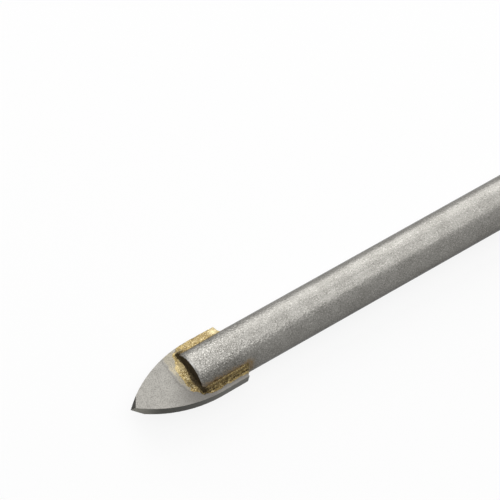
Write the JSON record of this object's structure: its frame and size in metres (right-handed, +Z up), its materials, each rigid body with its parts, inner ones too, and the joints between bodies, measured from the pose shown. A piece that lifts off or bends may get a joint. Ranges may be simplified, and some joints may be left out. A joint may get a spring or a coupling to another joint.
{
  "type": "glass and tile drill bit",
  "caption": "Spear-point drill bit for glass and tile: a ground carbide blade brazed into the slotted end of a plain round steel shank.",
  "frame": {"origin": "on the floor under the middle of the bit as it lies on its shank", "axes": "+X along the axis toward the point, +Y across the blade's wings, +Z up, square to the blade's face"},
  "size_m": [0.057, 0.0064, 0.0048],
  "materials": {
    "shank_steel": "bead-blasted, matt",
    "carbide": "sintered faces, ground edges",
    "braze_alloy": "as run, grainy, with flux stains"
  },
  "bodies": {
    "root": {"shank": "shank_steel", "carbide_tip": "carbide", "braze": "braze_alloy"}
  },
  "joints": []
}
